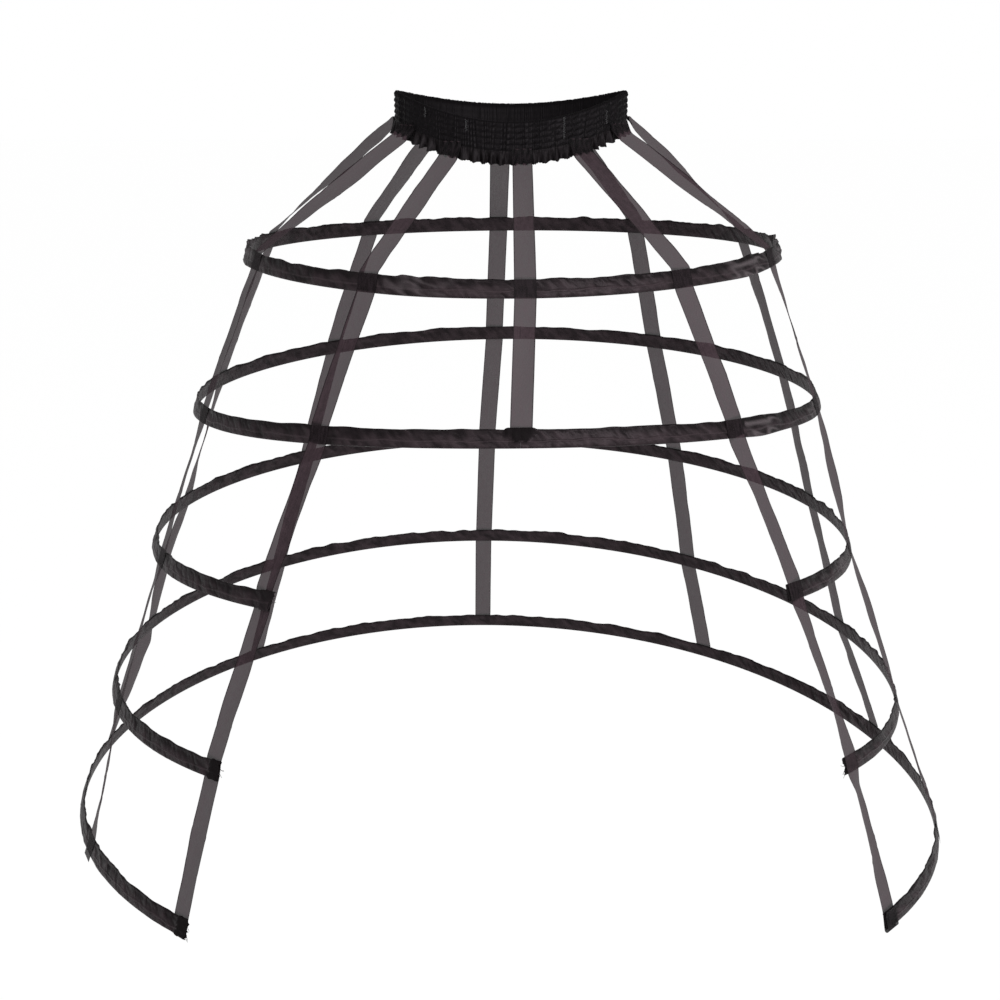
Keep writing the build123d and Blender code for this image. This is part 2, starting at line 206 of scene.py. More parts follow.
def hoop_points(hoop, turn, down, out):
    """Points down and out from the middle of a hoop's leaning outer face."""
    lean, roll, angle = radians(CASING_LEAN), radians(hoop.roll), np.radians(turn)
    lift = np.where(np.cos(angle) > 0, hoop.front_lift, hoop.back_lift) * np.cos(angle) ** 2
    flare = radians(hoop.flare) * bell((turn - FLARE_TURN) / FLARE_SPREAD)
    below = down - BONE_DROP
    radius = hoop.radius + BONE_DROP * sin(lean) + below * np.sin(lean + flare) + out * np.cos(lean + flare)
    height = lift - BONE_DROP * cos(lean) - below * np.cos(lean + flare) + out * np.sin(lean + flare)
    side, front = radius * np.sin(angle), radius * np.cos(angle)
    x = hoop.shift + side * cos(roll) - height * sin(roll)
    z = side * sin(roll) + height * cos(roll) - hoop.drop
    return np.stack(np.broadcast_arrays(x, -front, z), -1)


def station(points, turn, down, out):
    """A place on a hoop's or the waistband's face, and the direction round it there."""
    along = points(turn + 1, down, out) - points(turn - 1, down, out)
    return points(turn, down, out), unit(along)


def run_stations(start, finish, twists, slack):
    """Places along a free run, turned about it by its twists and bowed sideways by its slack."""
    run = finish[0] - start[0]
    stations = []
    for share, twist in zip(RUN_SHARES, twists):
        across = unit(start[1] * (1 - share) + finish[1] * share)
        turned = across * cos(radians(twist)) + np.cross(unit(run), across) * sin(radians(twist))
        stations.append((start[0] + run * share + across * slack * 4 * share * (1 - share), turned))
    return stations


def hoop_places(hoop, turn, inside, end):
    """Places of a tape on a casing, from above its upper edge down to where it leaves or ends."""
    top, foot = -CASING_HEIGHT / 2 - RUFFLE_HEIGHT, CASING_HEIGHT / 2
    back_top, back_foot = -CASING_TOP_DEPTH - TAPE_INNER_STAND, -CASING_FOOT_DEPTH - TAPE_INNER_STAND
    if end == "turned up":
        under, lip = foot + TAPE_SAG, foot - TAPE_TURN_UP
        offsets = ((top, back_top), (under, back_foot), (under, TAPE_STAND), (lip + TAPE_LIP, TAPE_STAND),
                   (lip, TAPE_STAND + TAPE_LIP_STAND))
    elif inside:
        offsets = (top, back_top), (TAPE_END_DROPS[end], back_foot)
    else:
        offsets = (top, TAPE_STAND), (TAPE_END_DROPS[end], TAPE_STAND)
    return [station(partial(hoop_points, hoop), turn, down, out) for down, out in offsets]


def tape_stations(place, tape):
    """Places and across directions along a tape, and the first and last place of each sewn stretch. A side
    tape springs off the waist higher up and closer in, and turns sooner to the run below."""
    aside = sin(radians(tape.waist)) ** SIDE_SHARPNESS
    spring_drop = FRILL_DROP - SIDE_SPRING_RISE * aside
    spring_out = FRILL_REACH + TAPE_SPRING + SIDE_SPRING_OUT * aside
    stations = [
        station(waist_points, tape.waist, BAND_HEIGHT - TAPE_LAP, TAPE_FACE),
        station(waist_points, tape.waist, BAND_HEIGHT, TAPE_FACE),
        station(waist_points, tape.waist, spring_drop, spring_out),
    ]
    sewn = [(0, len(stations) - 1)]
    for number, turn in enumerate(tape.turns):
        end = tape.end if number + 1 == len(tape.turns) else "flush"
        places = hoop_places(HOOPS[number], turn, number in tape.inside, end)
        run = run_stations(stations[-1], places[0], tape.twists[number], SLACK.get((place, number), 0.0))
        if number == 0:
            spot, across = stations[-1]
            stations[-1] = spot, unit(across + (1 + SIDE_TURN * aside) * run[0][1])
        stations += run + places
        sewn.append((len(stations) - len(places), len(stations) - 1))
    return stations, sewn


def waves(along, seed, lengths, heights):
    """Sum of a few sine waves along a line, with phases drawn from a seed."""
    phases = np.random.default_rng(seed).uniform(0, tau, len(lengths))
    parts = zip(lengths, heights, phases)
    return sum(height * np.sin(tau * along / length + phase) for length, height, phase in parts)


def tape_creases(along, places, seed):
    """Height of shallow slanting creases at random places along a tape."""
    draw = np.random.default_rng(seed)
    height = np.zeros((len(along), len(places)))
    for _ in range(int(along[-1] / CREASE_GAP)):
        middle = draw.uniform(0, along[-1])
        slant = draw.uniform(-CREASE_SLANT, CREASE_SLANT)
        depth = draw.uniform(-CREASE_DEPTH, CREASE_DEPTH)
        height += depth * bell((along[:, None] - middle - slant * places[None, :]) / CREASE_WIDTH)
    return height


def tape_lift(along, free, places, seed):
    """Height of a tape's slow waves, its cupped section and its creases, where it is free."""
    flutter = TAPE_FLUTTER * free
    bow = flutter * waves(along, seed, *BOW_WAVES)
    rock = flutter * waves(along, seed + ROCK_SEED, *ROCK_WAVES)
    cup = flutter * waves(along, seed + CUP_SEED, *CUP_WAVES) + TAPE_CUP * free
    lift = bow[:, None] + rock[:, None] * places * 2 + cup[:, None] * (4 * places ** 2 - 0.5)
    return lift + free[:, None] * tape_creases(along, places, seed + CREASE_SEED)


def distances(spots):
    """Distance of each of a line's points from its start, along the line."""
    return np.concatenate([[0], np.cumsum(np.linalg.norm(np.diff(spots, axis=0), axis=1))])


def tape_line(stations):
    """Distance along a tape of each station and of each row of its mesh, and each row's place, direction
    across the tape and normal."""
    spots, acrosses = (np.array(part) for part in zip(*stations))
    reach = distances(spots)
    along = np.linspace(0, reach[-1], int(reach[-1] / TAPE_STEP) + 1)
    line = np.stack([np.interp(along, reach, axis) for axis in spots.T], -1)
    across = unit(np.stack([np.interp(along, reach, axis) for axis in acrosses.T], -1))
    for _ in range(TAPE_BEND_ROUNDS):
        line[1:-1] = (line[:-2] + 2 * line[1:-1] + line[2:]) / 4
        across[1:-1] = unit(across[:-2] + 2 * across[1:-1] + across[2:])
    travel = unit(np.gradient(line, axis=0))
    normal = unit(np.cross(travel, across))
    return reach, along, line, np.cross(normal, travel), normal


def tape_grid(place, tape, seed):
    """Points of the ribbon in rows along it and columns across it, the distance along it of each row, and the
    shade painted on each point where the ribbon lies on the satin that it is sewn to, from 0 to 1."""
    stations, sewn = tape_stations(place, tape)
    reach, along, line, across, normal = tape_line(stations)
    places = np.linspace(-0.5, 0.5, TAPE_COLUMNS)
    scallops = np.sin(tau * places * TAPE_WIDTH / FLUTE_PITCH + seed)
    apart = [np.maximum(reach[first] - along, along - reach[last]) for first, last in sewn]
    # Painted shade: where the tape lies on satin no light shines through it from behind, so it is painted
    # darker
    laid = 1 - smooth_step(*LAID_EDGE, apart[0][:, None] + SCALLOP_DEPTH * scallops)
    for number, over_hoop in enumerate(apart[1:]):
        shade = LAP_SHADES.get((place, number), HOOP_SHADE)
        laid = np.maximum(laid, shade * (1 - smooth_step(*LAID_EDGE, over_hoop))[:, None])
    lift = tape_lift(along, smooth_step(*FREE_REACH, np.min(apart, axis=0)), places, seed)
    on_frill = smooth_step(BAND_HEIGHT - FRILL_DROP, 0, apart[0]) * (1 - smooth_step(0, FRILL_FADE, apart[0]))
    lift += FRILL_WAVE * on_frill[:, None] * (1 + scallops) / 2
    aside = places * TAPE_WIDTH * DRAWN_IN_SHARES.get(place, 1)
    grid = line[:, None] + across[:, None] * aside[None, :, None] + normal[:, None] * lift[:, :, None]
    return grid, along, laid


def cell_corners(grid):
    """The four corners of each cell of a grid, in order round it."""
    return np.stack([grid[:-1, :-1], grid[1:, :-1], grid[1:, 1:], grid[:-1, 1:]], 2)


def grid_mesh(name, grid, across, along, ring=False, tube=False, caps=False):
    """Mesh of quads over a grid of points, closed along its rows (ring), its columns (tube) or at both ends
    of its rows (caps), with a cloth UV map."""
    rows, columns = grid.shape[:2]
    index = np.arange(rows * columns).reshape(rows, columns)
    index = np.pad(index, ((0, ring), (0, tube)), "wrap")
    spots = np.stack(np.meshgrid(across[:columns + tube], along[:rows + ring]), -1)
    faces = cell_corners(index).reshape(-1, 4).tolist()
    places = cell_corners(spots).reshape(-1, 2)
    if caps:
        faces += [index[0, :columns].tolist(), index[-1, :columns][::-1].tolist()]
        places = np.concatenate([places, spots[0, :columns], spots[-1, :columns][::-1]])
    mesh = bpy.data.meshes.new(name)
    mesh.from_pydata((grid.reshape(-1, 3) * MM).tolist(), [], faces)
    mesh.uv_layers.new(name="cloth").data.foreach_set("uv", places.astype(np.float32).ravel())
    mesh.shade_smooth()
    return mesh


def set_points(mesh, values):
    """Named numbers on a mesh's points."""
    for name, numbers in values.items():
        data = mesh.attributes.new(name, "FLOAT", "POINT").data
        data.foreach_set("value", np.asarray(numbers, np.float32).ravel())


def new_piece(name, mesh, finish):
    piece = bpy.data.objects.new(name, mesh)
    bpy.context.scene.collection.objects.link(piece)
    mesh.materials.clear()
    mesh.materials.append(finish)
    return piece


def maths(operation):
    """Operator on wires that adds a Math node."""
    return lambda wire, *others: wire.math(operation, wire, *others)


class Wire:
    """A node socket. Arithmetic on it adds Math nodes, and node() adds any other node to the same tree."""

    def __init__(self, tree, socket=None):
        self.tree, self.socket = tree, socket

    def node(self, kind, settings=None, sockets=None, output=0):
        made = self.tree.nodes.new(kind)
        for name, value in (settings or {}).items():
            setattr(made, name, value)
        for key, value in (sockets or {}).items():
            if isinstance(value, Wire):
                self.tree.links.new(value.socket, made.inputs[key])
            else:
                made.inputs[key].default_value = value
        return Wire(self.tree, made.outputs[output] if made.outputs else None)

    def math(self, operation, *values):
        return self.node("ShaderNodeMath", {"operation": operation}, dict(enumerate(values)))

    def mix(self, low, high):
        """Colour between two others, by this socket's value."""
        return self.node("ShaderNodeMix", {"data_type": "RGBA"}, {0: self, 6: low, 7: high}, 2)

    def step(self, low, high):
        """Smooth step of this socket's value between two limits."""
        limits = {"Value": self, "From Min": low, "From Max": high}
        return self.node("ShaderNodeMapRange", {"interpolation_type": "SMOOTHSTEP"}, limits)

    def bump(self, strength, distance):
        """Normal of a surface that has this socket's value as its height."""
        return self.node("ShaderNodeBump", None, {"Strength": strength, "Distance": distance, "Height": self})

    def __rsub__(self, other):
        return self.math("SUBTRACT", other, self)

    __add__ = __radd__ = maths("ADD")
    __mul__ = __rmul__ = maths("MULTIPLY")
    __sub__ = maths("SUBTRACT")
    __truediv__ = maths("DIVIDE")
    __abs__ = maths("ABSOLUTE")
    at_least = maths("MAXIMUM")
    at_most = maths("MINIMUM")


def new_finish(name, constants):
    """Material with set constants, its Principled shader and a wire to start its pattern from."""
    material = bpy.data.materials.new(name)
    material.use_nodes = True
    shader = material.node_tree.nodes["Principled BSDF"]
    for socket, value in constants.items():
        shader.inputs[socket].default_value = value
    return material, shader, Wire(material.node_tree)


def paint(wire, shader, sockets):
    for name, value in sockets.items():
        wire.tree.links.new(value.socket, shader.inputs[name])


def point_value(wire, name):
    """Named number from a mesh's points."""
    return wire.node("ShaderNodeAttribute", {"attribute_name": name}, None, "Fac")


def cloth_places(wire):
    """Place across a cloth and along it, from its UV map."""
    places = wire.node("ShaderNodeUVMap", {"uv_map": "cloth"})
    return [wire.node("ShaderNodeSeparateXYZ", None, {"Vector": places}, axis) for axis in ("X", "Y")]


def cloth_noise(across, along, grain):
    """Noise from about 0 to 1 over a cloth."""
    slanted = along * grain.along + across * grain.slant
    places = across.node("ShaderNodeCombineXYZ", None, {"X": across * grain.across, "Y": slanted})
    settings = {"Vector": places, "Scale": 1.0, "Detail": grain.detail}
    return across.node("ShaderNodeTexNoise", None, settings, "Fac")


def organza_finish():
    finish, shader, wire = new_finish("organza", {"Roughness": 0.6, "Specular IOR Level": 0.12})
    across, along = cloth_places(wire)
    streaks = cloth_noise(across, along, ORGANZA_STREAKS)
    slubs = cloth_noise(across, along, ORGANZA_SLUBS)
    weft = cloth_noise(across, along, ORGANZA_WEFT)
    shade = (streaks * 0.5 + slubs * 0.45 + weft * 0.2).step(0.35, 0.78)
    selvedge = abs(across - 0.5).step(*SELVEDGE_SHARES)
    edged = selvedge.mix(shade.mix(*ORGANZA_COLOURS), SELVEDGE_COLOUR)
    # Painted shade where the tape lies on satin: dark, with streaks of shade like the flutes behind it
    behind_shade = cloth_noise(across, along, SATIN_BEHIND_SHADE).step(0.36, 0.66)
    colour = point_value(wire, "laid").mix(edged, behind_shade.mix(*LAID_SHADE_COLOURS))
    cover = ORGANZA_COVER + shade * 0.028 + selvedge * 0.03
    threads = (streaks + weft).bump(0.3, 0.0002)
    paint(wire, shader, {"Base Color": colour, "Alpha": cover, "Normal": threads})
    return finish


organza = organza_finish()
for seed, (place, tape) in enumerate(TAPES.items()):
    grid, along, laid = tape_grid(place, tape, seed)
    name = f"organza_tape_{place}"
    piece = new_piece(name, grid_mesh(name, grid, np.linspace(0, 1, TAPE_COLUMNS), along), organza)
    set_points(piece.data, {"laid": laid})
    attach(piece, "root")
    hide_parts(f"tape_{place}")


# Hoop casings
# Each hoop's bone runs in a tube of black satin, sewn along its upper edge. The strip is longer than the
# bone, so it puckers between the tapes and ruffles at the top. The lower three stop at the front tapes.
CASING_STEP = 2.2
CASING_ROWS = 11
CASING_FRONT_STAND = 0.15
CASING_BACK_ROOM = 0.4
CASING_BULGE = 0.6
BULGE_HEIGHT_SHARE = 0.27
BULGE_SPREAD_SHARE = 0.2
FLARE_ROOM = 0.08
FLARE_HEIGHT_SHARES = (0.75, 0.45)
FULL_TURN = 360.0
CLOSED_HOOPS = 2
SEWN_REACH = (10, 20)
BUNCH_GROWTH = 0.13

# Ends of an open casing: laps past the front tapes, pressed and ragged cuts, and the doubled left end
FLUSH_LAP = 1.5
FRAYED_LAP = 2.5
END_SEAM = 5.0
END_SEED = 40
PRESSED_SHARE = 0.7
RAGGED_REACH = 2.2
RAGGED_FADE = 9.0
FRAYED_EDGE = (3, 8)
LEFT_SLANTS = (4.0, 0.0, 0.0)
DOUBLED_END = 17.0
DOUBLED_EDGE = 2.0
DOUBLED_WOBBLE = 1.6
DOUBLED_STAND = 0.9
DOUBLED_SAG = 0.12
DOUBLED_SHADES = (0.4, 1.0, 1.0)
LUMP_SEED = 60
LUMP_SHARE = 0.5
LUMP_WAVES = (9, 5.3), (0.6, 0.4)

# The knot of satin over the short front tape's end
KNOT_HOOP = 1
KNOT_TURN = 1.8
KNOT_HALF_WIDTH = 15.5
KNOT_DROP_SHARE = 0.8
KNOT_EDGE_SHARES = (0.86, 1.0)
KNOT_WOBBLE = 0.1
KNOT_WOBBLE_RATE = 0.6
KNOT_WOBBLE_START = 1.0
KNOT_STAND = 2.8
KNOT_RISE = 1.4
KNOT_SEED = 21
KNOT_LUMP_SHARE = 0.4
KNOT_WAVES = (8, 4.6), (0.6, 0.4)

# Depth, width and upper ruffle of each casing's puckers, and the angle, half width and strength of the places
# where it bunches
Puckers = namedtuple("Puckers", "depth width ruffle bunches")
CASING_PUCKERS = (
    Puckers(3.6, 19.0, 3.0, ((54, 8, 1.1), (84, 12, 1.1), (-80, 13, 0.9), (-20, 12, 0.5))),
    Puckers(2.6, 26.0, 2.6, ((45.5, 4.5, 1.4), (-78, 8, 0.7), (70, 9, 0.5))),
    Puckers(3.0, 22.0, 3.0, ((-60, 10, 0.4), (66, 6, 0.5))),
    Puckers(3.2, 22.0, 3.2, ((-75, 14, 0.4), (95, 10, 0.5))),
    Puckers(3.2, 24.0, 3.2, ((-60, 12, 0.4), (110, 10, 0.6))),
)
PUCKER_SEED_STEP = 7.3

# The satin's patterns, and its colours: from painted shade to painted sheen, a painted sheen on its crumples
# and the painted shade where it is doubled
SATIN_FOLDS = Grain(4, 0.05, 1.7, 1)
SATIN_RIBS = Grain(3, 0.095, 3.2, 1)
SATIN_WRINKLES = Grain(3.5, 0.045, 3.5, 0)
SATIN_THREADS = Grain(90, 2.6, 0, 0)
RIDGE_SHEEN_WANDER = Grain(0.018, 0, 0, 2)
CASING_SHADE_AND_SHEEN_COLOURS = (0.0040, 0.0028, 0.0032, 1), (0.0400, 0.0284, 0.0325, 1)
CRUMPLE_SHEEN_COLOUR = (0.095, 0.079, 0.085, 1)
DOUBLED_SHADE_COLOUR = (0.0022, 0.0016, 0.0018, 1)


def turn_between(turns, other):
    """Signed angle from another angle, from -180 to 180."""
    return (turns - other + FULL_TURN / 2) % FULL_TURN - FULL_TURN / 2


# Heights are 1 at the sewn upper edge and 0 at the foot. Front is 1 on the outer face and 0 on the inner one
Section = namedtuple("Section", "heights downs outs swell front")


def casing_section():
    """Section of a casing's tube, up its front and down its back."""
    rise = np.linspace(0, 1, CASING_ROWS)
    back = -CASING_FOOT_DEPTH + (CASING_FOOT_DEPTH - CASING_TOP_DEPTH) * rise - CASING_BACK_ROOM
    heights = np.concatenate([rise, rise[::-1], [0]])
    front = np.concatenate([np.ones(CASING_ROWS), np.zeros(CASING_ROWS + 1)])
    outs = np.concatenate([np.full(CASING_ROWS, CASING_FRONT_STAND), back[::-1], [-CASING_FOOT_DEPTH / 2]])
    swell = CASING_BULGE * bell((heights - BULGE_HEIGHT_SHARE) / BULGE_SPREAD_SHARE) * front
    downs = CASING_HEIGHT / 2 - heights * CASING_HEIGHT
    downs[-1] += CASING_BACK_ROOM
    return Section(heights, downs, outs, swell, front)


def casing_turns(number):
    """Angles of a casing's rows, right round or from its right end to its left one."""
    radius = HOOPS[number].radius
    if number < CLOSED_HOOPS:
        return np.linspace(0, FULL_TURN, int(tau * radius / CASING_STEP), endpoint=False)
    right_lap = FLUSH_LAP if number + 1 == len(HOOPS) else FRAYED_LAP
    right = TAPES["front_right"].turns[number] - np.degrees((TAPE_WIDTH / 2 + right_lap) / radius)
    left = TAPES["front_left"].turns[number] + np.degrees((TAPE_WIDTH / 2 + FLUSH_LAP) / radius) + FULL_TURN
    return np.linspace(right, left, int(radians(left - right) * radius / CASING_STEP))


def casing_bunches(number, turns):
    """How far the satin is bunched up along a casing, from 0 to its strength."""
    bunch = np.zeros_like(turns)
    for turn, half_width, strength in CASING_PUCKERS[number].bunches:
        bunch += strength * bell(turn_between(turns, turn) / half_width)
    return bunch


def casing_looseness(number, turns):
    """How free a casing's satin is: 0 under a tape, 1 between tapes and more where it bunches."""
    loose = 1 + casing_bunches(number, turns)
    for tape in TAPES.values():
        if number < len(tape.turns):
            apart = np.abs(np.radians(turn_between(turns, tape.turns[number]))) * HOOPS[number].radius
            loose *= smooth_step(*SEWN_REACH, apart)
    return loose


def casing_ends(number, along, section, downs, outs):
    """Shapes an open casing's ends: both pressed flat and cut raggedly, the left one doubled on itself."""
    heights, front, opened = section.heights, section.front, number - CLOSED_HOOPS
    draw = np.random.default_rng(END_SEED + number)
    to_right, to_left = (along - along[0])[:, None], (along[-1] - along)[:, None]
    wobble = DOUBLED_WOBBLE * draw.uniform(-1, 1, len(heights))[None, :]
    doubled = 1 - smooth_step(DOUBLED_END - DOUBLED_EDGE, DOUBLED_END, to_left + wobble)
    pressed = 1 - smooth_step(0, END_SEAM, np.minimum(to_left, to_right))
    outs = outs + pressed * PRESSED_SHARE * (-CASING_TOP_DEPTH - outs) + DOUBLED_STAND * doubled * front
    lumps = 1 + LUMP_SHARE * waves(along, LUMP_SEED + number, *LUMP_WAVES)[:, None]
    downs = downs * (1 + DOUBLED_SAG * doubled * lumps)
    ragged_left, ragged_right = RAGGED_REACH * draw.uniform(-1, 1, (2, len(heights)))
    slanted = ragged_left + LEFT_SLANTS[opened] * (2 * heights - 1)
    near_left, near_right = (1 - smooth_step(0, RAGGED_FADE, apart) for apart in (to_left, to_right))
    shift = near_left * slanted - near_right * ragged_right
    frayed = 1 - smooth_step(*FRAYED_EDGE, to_right)
    # The last value is how dark the end is painted: painted shade on the doubled left end, and the frayed
    # right end
    return downs, outs, shift, np.maximum(doubled * DOUBLED_SHADES[opened], frayed)


def casing_knot(hoop, turns, section, downs, outs):
    """Raises the half-moon of bunched satin that covers the short front tape's end."""
    heights = section.heights[None, :]
    aside = np.radians(turn_between(turns, KNOT_TURN))[:, None] * hoop.radius
    apart = np.hypot(aside / KNOT_HALF_WIDTH, (1 - heights) / KNOT_DROP_SHARE)
    wavy = apart + KNOT_WOBBLE * np.sin(KNOT_WOBBLE_RATE * aside + KNOT_WOBBLE_START)
    knot = (1 - smooth_step(*KNOT_EDGE_SHARES, wavy)) * section.front
    lumps = 1 + KNOT_LUMP_SHARE * waves(aside, KNOT_SEED, *KNOT_WAVES)
    # The knot's share is returned too, for the shade painted on it
    return downs - KNOT_RISE * knot * heights, outs + KNOT_STAND * knot * lumps, knot


def casing_mesh(number):
    hoop, turns, section = HOOPS[number], casing_turns(number), casing_section()
    heights, front = section.heights, section.front
    ring = number < CLOSED_HOOPS
    along = np.radians(np.append(turns, 2 * turns[-1] - turns[-2])) * hoop.radius
    loose = casing_looseness(number, turns)[:, None]
    flare = FLARE_ROOM * hoop.flare * bell((turns - FLARE_TURN) / FLARE_SPREAD)[:, None]
    room = flare * (1 - front) * smooth_step(*FLARE_HEIGHT_SHARES, heights)
    outs = section.outs + section.swell * np.clip(loose, 0, 1) + room
    downs = section.downs * (1 + BUNCH_GROWTH * casing_bunches(number, turns)[:, None])
    shift, doubled = np.zeros_like(outs), np.zeros_like(outs)
    if number == KNOT_HOOP:
        downs, outs, doubled = casing_knot(hoop, turns, section, downs, outs)
    if not ring:
        downs, outs, shift, doubled = casing_ends(number, along[:-1], section, downs, outs)
    grid = hoop_points(hoop, turns[:, None] + np.degrees(shift / hoop.radius), downs, outs)
    around = np.linspace(0, 1, len(heights) + 1)
    mesh = grid_mesh(f"satin_casing_{number + 1}", grid, around, along, ring=ring, tube=True, caps=not ring)
    whole = np.ones_like(outs)
    set_points(mesh, {
        "along": along[:-1, None] * whole, "rise": heights * whole, "loose": loose * whole,
        "front": front * whole, "doubled": doubled,
    })
    outward = hoop_points(hoop, turns, 0, 1) - hoop_points(hoop, turns, 0, 0)
    spread = np.repeat(outward, len(heights), axis=0).astype(np.float32)
    mesh.attributes.new("outward", "FLOAT_VECTOR", "POINT").data.foreach_set("vector", spread.ravel())
    return mesh


def new_tree(name, inputs):
    """Geometry Nodes tree that takes a geometry and named inputs, with the sockets' identifiers and wires."""
    tree = bpy.data.node_groups.new(name, "GeometryNodeTree")
    tree.interface.new_socket("Geometry", in_out="INPUT", socket_type="NodeSocketGeometry")
    tree.interface.new_socket("Geometry", in_out="OUTPUT", socket_type="NodeSocketGeometry")
    kinds = {float: "NodeSocketFloat", int: "NodeSocketInt", bpy.types.Material: "NodeSocketMaterial"}
    keys = {}
    for label, kind in inputs.items():
        keys[label] = tree.interface.new_socket(label, in_out="INPUT", socket_type=kinds[kind]).identifier
    start = tree.nodes.new("NodeGroupInput")
    wires = {socket.name: Wire(tree, socket) for socket in start.outputs if socket.name}
    return tree, keys, wires


def close_tree(tree, geometry, finish):
    """Ends a tree: smooth faces, no instances left and one finish."""
    smooth = geometry.node("GeometryNodeSetShadeSmooth", None, {"Geometry": geometry})
    whole = geometry.node("GeometryNodeRealizeInstances", None, {"Geometry": smooth})
    dressed = geometry.node("GeometryNodeSetMaterial", None, {"Geometry": whole, "Material": finish})
    tree.links.new(dressed.socket, tree.nodes.new("NodeGroupOutput").inputs[0])


def run_tree(piece, tree, keys, values):
    """Runs a tree on a piece and keeps the result as its plain mesh."""
    modifier = piece.modifiers.new(tree.name, "NODES")
    modifier.node_group = tree
    for label, value in values.items():
        modifier[keys[label]] = value
    result = piece.evaluated_get(bpy.context.evaluated_depsgraph_get())
    mesh = bpy.data.meshes.new_from_object(result)
    piece.modifiers.remove(modifier)
    mesh.name = piece.name
    piece.data = mesh


def named_value(wire, name, kind="FLOAT"):
    return wire.node("GeometryNodeInputNamedAttribute", {"data_type": kind}, {"Name": name})


def pucker_tree():
    """Tree that puckers a casing between its tapes and ruffles its upper edge."""
    tree, keys, wires = new_tree("casing puckers", {
        "Pucker Depth": float, "Pucker Width": float, "Ruffle Height": float, "Seed": float,
        "Satin": bpy.types.Material,
    })
    wire = wires["Geometry"]
    along, rise, loose, front = (named_value(wire, name) for name in ("along", "rise", "loose", "front"))
    slant = along / wires["Pucker Width"] + rise * 0.7

    def noise(across, up):
        places = wire.node("ShaderNodeCombineXYZ", None, {"X": across, "Y": up, "Z": wires["Seed"]})
        settings = {"Vector": places, "Scale": 1.0, "Detail": 1.0, "Roughness": 0.6}
        return wire.node("ShaderNodeTexNoise", None, settings) - 0.5

    # Broad waves, finer creases and long ridges push the satin out, most of all at its upper edge
    wave = noise(slant, rise * 0.7) * 2
    crease = noise(slant * 2.4, rise * 1.1 + 9.0)
    ridge = noise(along * 0.016, rise * 3.4 + 5.0)
    swing = (wave * (rise * 0.75 + 0.2) + crease * 0.3 + ridge * 0.9) * loose * wires["Pucker Depth"]
    upper = rise.step(0.48, 0.85)
    push = swing * upper + swing.at_least(0.0) * (1 - upper) * front
    ruffle = noise(slant * 0.5, 3.0) * 2 + wave * 0.3
    lift = ruffle * rise * rise * loose.at_most(1.0) * wires["Ruffle Height"]
    outward = named_value(wire, "outward", "FLOAT_VECTOR")
    sideways = wire.node("ShaderNodeVectorMath", {"operation": "SCALE"}, {0: outward, "Scale": push})
    upright = wire.node("ShaderNodeCombineXYZ", None, {"Z": lift})
    offset = wire.node("ShaderNodeVectorMath", {"operation": "ADD"}, {0: sideways, 1: upright})
    moved = wire.node("GeometryNodeSetPosition", None, {"Geometry": wire, "Offset": offset})
    close_tree(tree, moved, wires["Satin"])
    return tree, keys


def casing_satin_finish():
    finish, shader, wire = new_finish("casing satin", {
        "Specular IOR Level": 0.21, "Specular Tint": (1.0, 0.84, 0.91, 1),
    })
    around, along = cloth_places(wire)
    fold = cloth_noise(around, along, SATIN_FOLDS)
    rib = cloth_noise(around, along, SATIN_RIBS)
    thread = cloth_noise(around, along, SATIN_THREADS)
    # Painted highlight: a thin wavy line of sheen along the lower part of the front, where the bone's edge
    # raises the satin
    wander = cloth_noise(along, around, RIDGE_SHEEN_WANDER) * 0.22 - around + 0.045
    ridge = 1 - abs(wander).step(0.0, 0.035)
    # Painted shade: the upper part of the casing's front is darker
    upper_shade = around.step(0.2, 0.42) - around.step(0.47, 0.55)
    bunched = point_value(wire, "loose").step(1.1, 1.9)
    # Painted highlight: pale bands of sheen along the wrinkles where the satin bunches
    wrinkle = cloth_noise(around, along, SATIN_WRINKLES) - 0.5
    crease = (1 - abs(wrinkle).step(0.0, 0.17)) * bunched
    # Painted shade and sheen: dark in the valleys of folds and ribs, darker high on the front and where it
    # bunches, pale on ribs and the ridge line
    tone = (fold * 0.5 + rib * 0.6 + ridge * fold * 0.45 - upper_shade * 0.22 - bunched * 0.1).step(0.30, 0.82)
    sheen_painted = crease.mix(tone.mix(*CASING_SHADE_AND_SHEEN_COLOURS), CRUMPLE_SHEEN_COLOUR)
    # Doubled and knotted satin is painted darker as painted shade, and the frayed right ends are painted
    # darker too
    doubled = point_value(wire, "doubled")
    colour = doubled.mix(sheen_painted, DOUBLED_SHADE_COLOUR)
    roughness = 0.36 + rib * 0.16 + doubled * 0.35
    height = fold + rib * 1.1 + ridge * 0.2 + crease * 0.5 + thread * 0.03
    paint(wire, shader, {"Base Color": colour, "Roughness": roughness, "Normal": height.bump(0.8, 0.003)})
    return finish


casing_satin = casing_satin_finish()
puckers, pucker_keys = pucker_tree()
for number, hoop in enumerate(HOOPS):
    mesh = casing_mesh(number)
    piece = new_piece(mesh.name, mesh, casing_satin)
    run_tree(piece, puckers, pucker_keys, {
        "Pucker Depth": CASING_PUCKERS[number].depth * MM, "Pucker Width": CASING_PUCKERS[number].width,
        "Ruffle Height": CASING_PUCKERS[number].ruffle * MM, "Seed": PUCKER_SEED_STEP * number,
        "Satin": casing_satin,
    })
    turns = casing_turns(number)
    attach(piece, "root")
    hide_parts(f"hoop_{number + 1}_casing")


# Frayed threads
# The open casings' ends are cut raw, so single black threads have worked loose from the satin's weave there.
# Each is a fine limp strand that starts in the cut edge, runs on along the hoop and droops.
STRAND_SEED = 17
STRAND_RADIUS = 0.2
STRAND_SIDES = 5
STRAND_POINTS = 9
STRANDS_PER_END = 4
STRAND_ROOT_SHARE = -0.3
STRAND_DEPTH = -0.8
STRAND_CURL = 0.8
BLACK_THREAD_COLOURS = (0.006, 0.005, 0.0055, 1), (0.024, 0.020, 0.022, 1)

